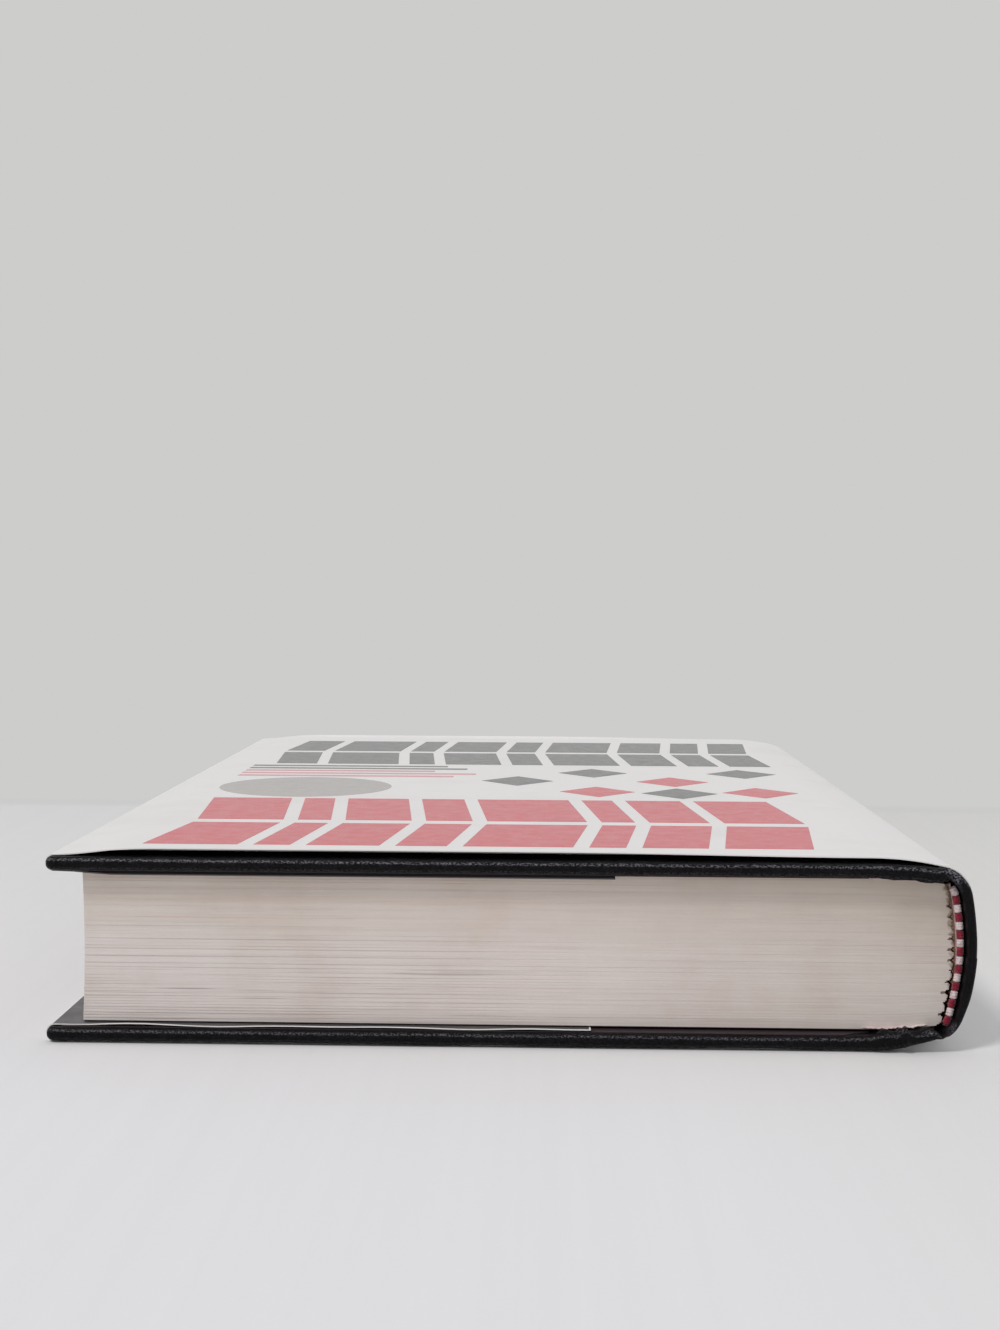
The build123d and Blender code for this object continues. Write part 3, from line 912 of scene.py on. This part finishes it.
def jacket_line(hover, flap_width):
    """The middle line of half the jacket, with normals that point away from the cover."""
    fold = (z_jacket - z_flap) / 2
    x_fold = x_fore - jacket_middle + fold
    x_panel = x_fold + jacket_rise_width
    flap_end = x_fore + flap_width
    line = [(x, z_flap, 0, -1) for x in (flap_end, *spread(flap_end - flap_margin, x_fold, flap_count))]
    turn = arc_line((x_fold, z_flap + fold), fold, -pi / 2, pi / 2, fore_fold_count)
    line += [(2 * x_fold - x, z, -nx, nz) for x, z, nx, nz in turn[1:]]
    for share in spread(0, 1, rise_count)[1:]:
        z = z_jacket + hover * smooth_share(share, 0, 1)
        slope = hover * 6 * share * (1 - share) / jacket_rise_width
        size = hypot(slope, 1)
        line.append((x_fold + share * (x_panel - x_fold), z, -slope / size, 1 / size))
    line += [(x, z_jacket + hover, 0, 1) for x in spread(x_panel, x_joint, panel_count)[1:]]
    fall = joint_drop + hover
    radius = (joint_width**2 + fall**2) / (2 * fall)
    for share in spread(0, 1, rise_count)[1:]:
        lean = asin(share * joint_width / radius)
        z = z_jacket + hover - radius * (1 - cos(lean))
        line.append((x_joint + radius * sin(lean), z, sin(lean), cos(lean)))
    return line + spine_line(-jacket_middle, *jacket_spine_counts)[1:]


def flap_skewed(x, y, z):
    """The back flap was folded a little out of square, so it comes nearer to the board's head edge."""
    on_flap = x <= x_fore + flap_widths["back"] and z > turn_in_depth
    return x, y - flap_skew * on_flap * smooth_share(x, x_fore, x_fore + flap_skew_run), z


def jacket_form(side):
    """Points and faces of half the jacket."""
    hover, flap_width, seed = jacket_hovers[side], flap_widths[side], jacket_seeds[side]
    line = jacket_line(hover, flap_width)
    places = dict(zip(reaches(line), line))
    half = jacket_height / 2
    y_edge = half - jacket_y_gap
    y_inner = y_edge - jacket_y_gap
    y_places = [*spread(-half, -y_edge, jacket_edge_count), *spread(-y_inner, y_inner, jacket_y_count)]
    y_places += spread(y_edge, half, jacket_edge_count)

    def shift(arc, y):
        """Over the spine the sheet isn't quite flat, and at the edges it curls and lifts."""
        past_flap = arc - flap_width
        past_end = smooth_share(abs(y), page_height / 2 + page_end_margin, half)
        curl = uneven(arc, seed, *flap_curls[side]) * smooth_share(past_flap, *curl_run)
        lift = edge_lift * smooth_share(past_flap, *lift_run) if hover else 0
        lift *= smooth_share(past_flap, panel_reach, lift_end)
        wave = noise_at(arc * wave_spacing[0], y * wave_spacing[1], seed) - wave_drop
        wave *= wave_height * smooth_share(past_flap, panel_reach, panel_reach + panel_fade)
        return (curl + lift) * past_end + wave - sinking(side, places[arc][0], y, places[arc][1])

    points, faces = sheet_form(line, y_places, jacket_thickness, side, shift)
    if side == "back":
        points = [flap_skewed(*point) for point in points]
    return points, faces


def print_flap(piece, side):
    """Gives the flap's face its ink, and at the front paints the edges that stand past the pages dark grey
    as painted shade under the board.
    """
    piece.data.materials.append(flap_ink_and_edge_shade)
    start = x_fore + flap_print_start
    end = x_fore + flap_widths[side] - (flap_margin if side == "back" else 0)
    for face in piece.data.polygons:
        x, y, z = on_side(face.center / mm, side)
        facing = face.normal.z if side == "front" else -face.normal.z
        printed = z < z_flap and facing < -flap_print_facing
        # Painted shade: past the pages' ends the front flap's cut edge and inner face take the dark grey
        if side == "front" and abs(y) > page_height / 2:
            printed = printed or z < z_flap + edge_shade_height
        if start < x < end and printed:
            face.material_index = 1


def make_jacket(side):
    piece = finish_mesh(side + "_jacket_sheet", *jacket_form(side), white_paper, sharp_angle=50)
    print_flap(piece, side)
    bend_across_hinge(piece, side)
    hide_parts("jacket_" + side, "jacket_spine")


# Page block: every few leaves are a layer of their own, a little out of line with the next

leaves_per_section = 8
leaf_count = section_count * leaves_per_section
block_columns = 90
block_runs = 26
column_crowding = 0.35
leaf_step = 0.024
leaf_inset = 1.5
own_jitter = (0, 1.5, 3.71, 9.3, 0.5)
slow_spacing = (0.9, 0.025, 5.1)
fore_seed = 7
ragged_low = 5.0
ragged_high = 1.6
ragged_share_run = (0.75, 0.15)
ragged_fade = (0.1, 0.7)

# The outer leaves of each section are torn back at the spine
notch_tear = 0.85
notch_tears = (0.7, 1.1, 2.3, 3.7, 1.1)
leaf_tears = (0, 0.25, 5.3, 2.9, 4.4)
second_leaf_tear = 0.35
back_jitter = (0, 5, 3.3, 1.7, 9.4)
back_tear_step = 0.1
shoulder_angle = asin((joint_point(x_crease, block_depth)[1] - z_middle) / (spine_radius - notch_depth))

# Glue drawn into the notches
notch_glue_inset = 0.35
notch_glue_reach = 1.3
notch_glue_gap = 0.05
notch_glue_share = 0.985
notch_glue_steps = 60


def block_height(x):
    """Height of the block's upper face."""
    return z_front - block_depth if x <= x_joint else joint_point(x, block_depth)[1]


def leaf_jitter(leaf, arc, seed):
    """How far one layer's edge stands out of line there."""
    slow = noise_at(leaf * slow_spacing[0], arc * slow_spacing[1], seed * slow_spacing[2])
    return uneven(leaf, seed, *own_jitter) + slow


def back_reach(share, leaf, end):
    """X of one layer at the rounded back; the outer layers of a section are torn back into notches."""
    angle = asin((2 * share - 1) * sin(shoulder_angle))
    in_section = leaf % leaves_per_section
    rise = section_round * sqrt(1 - (2 * (in_section + 0.5) / leaves_per_section - 1) ** 2)
    boundary = (leaf + leaves_per_section // 2) // leaves_per_section
    from_boundary = min(in_section, leaves_per_section - 1 - in_section)
    if from_boundary < 2:
        tear = notch_tear * uneven(boundary, end, *notch_tears) + uneven(leaf, end, *leaf_tears)
        rise -= max(0, tear * (second_leaf_tear if from_boundary else 1))
    rise += leaf_step * uneven(leaf, end, *back_jitter)
    return x_spine_centre + (spine_radius - notch_depth + rise) * cos(angle)


def block_outline(share, leaf):
    """The layer's outline, seen from above, with its height at each point."""
    fore_x = x_pages + fore_edge_hollow * (1 - (2 * share - 1) ** 2)
    half = page_height / 2
    ragged = ragged_high + (ragged_low - ragged_high) * smooth_share(share, *ragged_share_run)

    def cut_edge(end):
        """The points along the head or tail, from the fore-edge to the back."""
        back_x = back_reach(share, leaf, end)
        run = []
        for part in spread(0, 1, block_columns):
            part += column_crowding * part * (1 - part) * (1 - 2 * part)
            x = fore_x + (back_x - fore_x) * part
            fade = ragged + (1 - ragged) * smooth_share(part, *ragged_fade)
            out = leaf_step * (leaf_jitter(leaf, x, end + 2) * fade - leaf_inset)
            run.append((x, end * (half + out)))
        return run

    steps = range(1, block_runs)
    gap = page_height / block_runs
    back = [(back_reach(share, leaf, back_tear_step * step), step * gap - half) for step in steps]
    fore = [(fore_x + leaf_step * abs(leaf_jitter(leaf, -y, fore_seed)), -y) for _, y in back]
    outline = cut_edge(-1) + back + cut_edge(1)[::-1] + fore
    return [(x, y, z_middle + (2 * share - 1) * (block_height(x) - z_middle)) for x, y in outline]


def make_pages():
    rings = []
    for leaf in range(leaf_count):
        rings += [block_outline(leaf / leaf_count, leaf), block_outline((leaf + 1) / leaf_count, leaf)]
    count = len(rings[0])
    faces = tube_faces(len(rings), count, capped=False)
    for first in (0, (len(rings) - 1) * count):
        spine_start = first + block_columns
        tail_start = spine_start + block_runs
        fore_start = tail_start + block_columns
        for column in range(block_columns):
            head, tail = first + column, fore_start - column
            faces.append((head, head + 1, tail - 1, tail))
        faces.append(tuple(range(spine_start, tail_start + 1)))
        faces.append((*range(fore_start, first + count), first))
    points = [point for ring in rings for point in ring]
    piece = finish_mesh("pages", points, faces, pages_finish, sharp_angle=25)
    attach(piece, "text_block")
    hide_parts("text_block")


def make_notch_glue():
    """The glue is seen a little way in from the cut edges."""
    points = []
    half = page_height / 2 - notch_glue_inset
    back = spine_radius - notch_depth
    inner, outer = back - notch_glue_reach, back - notch_glue_gap
    turn = shoulder_angle * notch_glue_share
    for angle in spread(-turn, turn, notch_glue_steps):
        for radius, y in ((inner, -half), (outer, -half), (outer, half), (inner, half)):
            points.append((x_spine_centre + radius * cos(angle), y, z_middle + radius * sin(angle)))
    piece = finish_mesh("glue_in_notches", points, tube_faces(notch_glue_steps + 1, 4), notch_glue)
    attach(piece, "text_block")


# Endpapers: a leaf on the pages, a leaf pasted to the cover, and the fold between them

leaf_edge_inset = 0.1
leaf_edge_gap = 0.5
leaf_y_count = 28
leaf_y_reach = page_height / 2 - leaf_edge_inset
leaf_y_inner = spread(leaf_edge_gap - leaf_y_reach, leaf_y_reach - leaf_edge_gap, leaf_y_count)
leaf_y_places = [-leaf_y_reach, *leaf_y_inner, leaf_y_reach]
flyleaf_start = 0.05
flyleaf_gap = 0.4
flyleaf_counts = (30, 10)

# The pasted leaf, which sinks a little where no cloth is turned in under it
pasted_depth = pastedown_depth - endpaper_thickness / 2
pasted_edge = 1.2
pasted_edge_gap = 0.6
pasted_gap = 0.5
pasted_counts = (60, 10)
window_depth = 0.2
window_run = (-0.6, 0.8)
window_end_run = (127, 122)
window_step_reach = 1
window_step_count = 5
window_inset = 8
window_count = 12
pasted_narrowing = (-4, -1)

# The strip of endpaper in the joint
fold_gap = 0.75
fold_strip = 3
fold_strip_count = 4
fold_turn_count = 10


def make_flyleaf(side):
    depth = flyleaf_depth + endpaper_thickness / 2
    line = cover_line(x_pages + flyleaf_start, x_crease - flyleaf_gap, depth, *flyleaf_counts)
    form = sheet_form(line, leaf_y_places, endpaper_thickness, side)
    piece = finish_mesh(side + "_endpaper_leaf", *form, black_paper)
    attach(piece, "text_block")
    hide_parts(side + "_flyleaf")


def pasted_y_places(window):
    """Places from one end of the pasted leaf to the other, close together where it steps into the window."""
    half = cover_height / 2 - pasted_edge
    step = spread(window - window_step_reach, window + window_step_reach, window_step_count)
    ahead = [*step, half - pasted_edge_gap, half]
    inner = spread(window_inset - window, window - window_inset, window_count)
    return [-y for y in reversed(ahead)] + inner + ahead


def make_pastedown(side):
    line = cover_line(x_fore + pastedown_margin, x_crease - pasted_gap, pasted_depth, *pasted_counts)
    window = cover_height / 2 - turn_in_width
    window_start = turn_in_width - pastedown_margin

    def shift(arc, y):
        inside = smooth_share(window - abs(y), *window_run) * smooth_share(arc - window_start, *window_run)
        return window_depth * inside * smooth_share(arc, *window_end_run)

    points, faces = sheet_form(line, pasted_y_places(window), endpaper_thickness, side, shift)
    for index, (x, y, z) in enumerate(points):
        past = max(0, abs(y) - page_height / 2) * smooth_share(x - x_joint, *pasted_narrowing)
        points[index] = (x, y - past if y > 0 else y + past, z)
    piece = finish_mesh(side + "_endpaper_pasted", points, faces, black_paper)
    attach(piece, side + "_cover")
    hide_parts(side + "_pastedown")


def make_endpaper_fold(side):
    """The strip of endpaper in the joint."""
    inner = flyleaf_depth + endpaper_thickness / 2
    x_turn = x_crease - fold_gap
    upper = joint_point(x_turn, pasted_depth)
    lower = joint_point(x_turn, inner)
    middle = ((upper[0] + lower[0]) / 2, (upper[1] + lower[1]) / 2)
    radius = (upper[1] - lower[1]) / 2
    places = spread(x_turn - fold_strip, x_turn, fold_strip_count)
    line = [joint_point(x, pasted_depth) for x in places]
    line += arc_line(middle, radius, pi / 2, -pi / 2, fold_turn_count)[1:-1]
    line += [(x, z, -nx, -nz) for x, z, nx, nz in (joint_point(x, inner) for x in reversed(places))]
    form = sheet_form(line, leaf_y_places, endpaper_thickness, side)
    piece = finish_mesh(side + "_endpaper_fold", *form, black_paper)
    blend_to_cover(piece, side, (x_turn, 0, lower[1]), (x_turn, 0, upper[1]))


# The torn edge of the endpaper where the cloth of a joint pulls at it

torn_steps = 60
torn_width = 0.6
torn_shares = {"front": 0.35, "back": 1}
torn_depths = {"front": flyleaf_depth, "back": flyleaf_depth + 0.4}
torn_seeds = {"front": 5, "back": 9}
torn_run = (-1.5, joint_width + 0.4)
torn_lifts = (0, 0.25, 9, 1, 2.2)
torn_fade = 0.15
torn_widths = (0.75, 0.9, 21, 3.1, 0.3)
torn_least = 0.06
torn_curl = 0.12
torn_thickness = (0.09, 0.12)
torn_inset = 0.3
torn_reach = 2.4


def make_torn_edge(side, end_name, end):
    """A ragged lip of paper along the joint at one end of the book."""
    seed = torn_seeds[side] + end
    points = []
    for share in spread(0, 1, torn_steps):
        x = x_joint + torn_run[0] + share * torn_run[1]
        depth = torn_depths[side] + uneven(share, seed, *torn_lifts)
        x, z, normal_x, normal_z = joint_point(x, depth)
        width = torn_width * uneven(share, seed, *torn_widths)
        width *= smooth_share(min(share, 1 - share), 0, torn_fade)
        width = torn_least + max(0, width) * torn_shares[side]
        tip = -torn_curl * width
        for out, height in ((0, 0), (width, tip), (width, tip - torn_thickness[0]), (0, -torn_thickness[1])):
            y = end * (page_height / 2 - torn_inset + out * torn_reach)
            points.append(on_side((x + normal_x * height, y, z + normal_z * height), side))
    piece = finish_mesh(side + "_torn_edge_" + end_name, points, tube_faces(torn_steps + 1, 4), torn_paper)
    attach(piece, "text_block")


# Bands: each bead is a roll wound with thread

y_bead = page_height / 2 + bead_gap + bead_radius
bead_wraps = 3
bead_steps = 30
bead_facets = 20
bead_share = 0.96
bead_closing = 0.42
bead_end_share = 0.55
wrap_relief = 0.13
wrap_slants = (0.5, 0.4, 1.9, 1, 3.3)
bead_sizes = (0.97, 0.06, 2.7, 2.0, 8.1)


def bead_spans():
    """Arc centre, radius, first angle and turn of each bead, from the back to the front cover."""
    lower_corner = (x_corner, 2 * z_middle - z_corner)
    path = corner_radius - bead_depth
    turn = radians(corner_bead_angle)
    spans = [(lower_corner, path, -round_angle - turn, turn)]
    centre = (x_spine_centre, z_middle)
    step = 2 * round_angle / straight_bead_count
    for index in range(straight_bead_count):
        spans.append((centre, spine_radius - bead_depth, index * step - round_angle, step))
    spans.append(((x_corner, z_corner), path, round_angle, turn))
    return spans


def bead_points(span, end, seed):
    """Rings of points round one wound bead, which closes at both ends."""
    centre, radius, start, turn = span
    slant = uneven(seed, end, *wrap_slants)
    size = bead_radius * uneven(seed, end, *bead_sizes)
    points = []
    for share in spread(0, 1, bead_steps):
        angle = start + turn * (0.5 + bead_share * (share - 0.5))
        from_end = min(1, min(share, 1 - share) * radius * turn / (size * bead_closing))
        closing = sqrt(max(0, from_end * (2 - from_end)))
        for around in spread(0, 2 * pi, bead_facets)[:-1]:
            ridge = abs(sin(pi * bead_wraps * share + slant * sin(around)))
            reach = size * (bead_end_share + (1 - bead_end_share) * closing)
            reach *= 1 - wrap_relief + wrap_relief * sqrt(ridge)
            out = radius + reach * cos(around)
            y = end * y_bead + reach * sin(around)
            points.append((centre[0] + out * cos(angle), y, centre[1] + out * sin(angle)))
    return points


def make_band(end_name, end, colour, first):
    """Every second bead, from the first one given, wound in one colour."""
    points, faces = [], []
    for index in range(first, straight_bead_count + 2, 2):
        for face in tube_faces(bead_steps + 1, bead_facets):
            faces.append(tuple(corner + len(points) for corner in face))
        points += bead_points(bead_spans()[index], end, index)
    name = end_name + "_band_" + colour
    piece = finish_mesh(name + "_wraps", points, faces, threads[colour], sharp_angle=60)
    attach(piece, "text_block")
    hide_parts(name + "_thread")


for side in ("front", "back"):
    make_case(side)
    make_flyleaf(side)
    make_pastedown(side)
    make_endpaper_fold(side)
for side in ("front", "back"):
    make_jacket(side)
make_pages()
make_notch_glue()
for end_name, end in (("head", -1), ("tail", 1)):
    make_torn_edge("front", end_name, end)
    make_torn_edge("back", end_name, end)
    make_band(end_name, end, "red", 0)
    make_band(end_name, end, "white", 1)


# Stage, lamps and camera, with places in millimetres and angles in degrees

sight_rays = ("Is Camera Ray", "Is Glossy Ray", "Is Transmission Ray")
sky_colour = (250, 251, 255)
sky_strength = 0.60
backdrop_colour = (205, 205, 204)
far_backdrop_colour = (204, 204, 203)
table_colour = (237, 236, 237)
table_stripe_colour = (235.5, 234.5, 235.5)
depth_run = (-120, 208)
backdrop_run = (204, 228)
depth_shade_tints = ((255, 255, 255), (242, 242, 240))
past_spine_run = (30, 110)
past_spine_shade_tints = ((255, 255, 255), (248, 248, 245))
floor_reach = 6000
key_colour = (1.0, 0.985, 0.96)
key_strength = 1.15
key_elevation = 53.0
key_azimuth = -40.0
key_size_angle = 13.0
camera_place = (5.95, -417.87, 79.27)
camera_yaw = 1.457
camera_pitch = 2.586
camera_roll = 0.307
camera_lens = 48.05
camera_clip = 10


def rays_mix(made, seen, unseen):
    """One shader for the rays that look at the background and another for the light it gives."""
    rays = add_node(made, "LightPath").outputs
    looking = rays[sight_rays[0]]
    for kind in sight_rays[1:]:
        looking = computed(made, "MAXIMUM", looking, rays[kind])
    return shader_mix(made, looking, unseen, seen)


def shader_mix(made, value, first, second):
    mix = add_node(made, "MixShader")
    for socket, start in zip(mix.inputs, (value, first, second)):
        join(made, start, socket)
    return mix.outputs[0]


def plain_light(made, kind, colour, strength=1.0):
    """An emission or background shader."""
    light = add_node(made, kind, Strength=strength)
    light.inputs["Color"].default_value = linear(*colour)
    return light.outputs[0]


def make_world():
    world = bpy.data.worlds.new("studio")
    world.use_nodes = True
    bpy.context.scene.world = world
    nodes = world.node_tree.nodes
    sky = nodes["Background"]
    sky.inputs["Color"].default_value = linear(*sky_colour)
    sky.inputs["Strength"].default_value = sky_strength
    seen = plain_light(world, "Background", backdrop_colour)
    join(world, rays_mix(world, seen, sky.outputs[0]), nodes["World Output"].inputs[0])


def table_finish():
    """A pale table with painted shade that deepens with depth and past the spine, and beyond it the
    backdrop's own grey.
    """
    made, shader = new_material("table_and_backdrop", table_colour, 0.8, specular=0.1)
    x, y, _ = object_axes(made)
    beyond = along(made, y, backdrop_run)
    stripes = grain(made, 220, scale=(1, 0.004, 1))
    table = shades(made, stripes, (table_colour, table_stripe_colour), (0.35, 0.65))
    # Painted shade: the table darkens further back and past the spine, where less light falls
    table = tinted(made, table, along(made, y, depth_run), depth_shade_tints, (0.0, 1.0))
    table = tinted(made, table, along(made, x, past_spine_run), past_spine_shade_tints, (0.0, 1.0))
    far = shades(made, grain(made, 3), (backdrop_colour, far_backdrop_colour), (0.3, 0.7))
    join(made, mixed(made, beyond, table, far), shader.inputs["Base Color"])
    glow = plain_light(made, "Emission", backdrop_colour)
    seen = shader_mix(made, beyond, shader.outputs[0], glow)
    surface = made.node_tree.nodes["Material Output"].inputs["Surface"]
    join(made, rays_mix(made, seen, shader.outputs[0]), surface)
    return made


def make_floor():
    """One wide plane for the table and the backdrop."""
    reach = floor_reach * mm
    mesh = bpy.data.meshes.new("floor")
    corners = [(-reach, -reach, 0), (reach, -reach, 0), (reach, reach, 0), (-reach, reach, 0)]
    mesh.from_pydata(corners, [], [(0, 1, 2, 3)])
    mesh.materials.append(table_finish())
    add_object("floor", mesh)


def make_key():
    lamp = bpy.data.lights.new("key", "SUN")
    lamp.energy = key_strength
    lamp.angle = radians(key_size_angle)
    lamp.color = key_colour
    key = add_object("key", lamp)
    key.rotation_euler = Euler((radians(90 - key_elevation), 0, radians(key_azimuth)), "XYZ")


def make_camera():
    lens = bpy.data.cameras.new("photo_camera")
    lens.lens = camera_lens
    lens.clip_start = camera_clip * mm
    camera = add_object("photo_camera", lens)
    camera.location = Vector(camera_place) * mm
    turns = ((0, camera_yaw), (90 - camera_pitch, 0), (0, camera_roll))
    yaw, pitch, roll = (Euler((radians(x), 0, radians(z))).to_matrix() for x, z in turns)
    camera.rotation_euler = (yaw @ pitch @ roll).to_euler()
    bpy.context.scene.camera = camera


make_world()
make_floor()
make_key()
make_camera()
bpy.context.scene.view_settings.view_transform = "Standard"
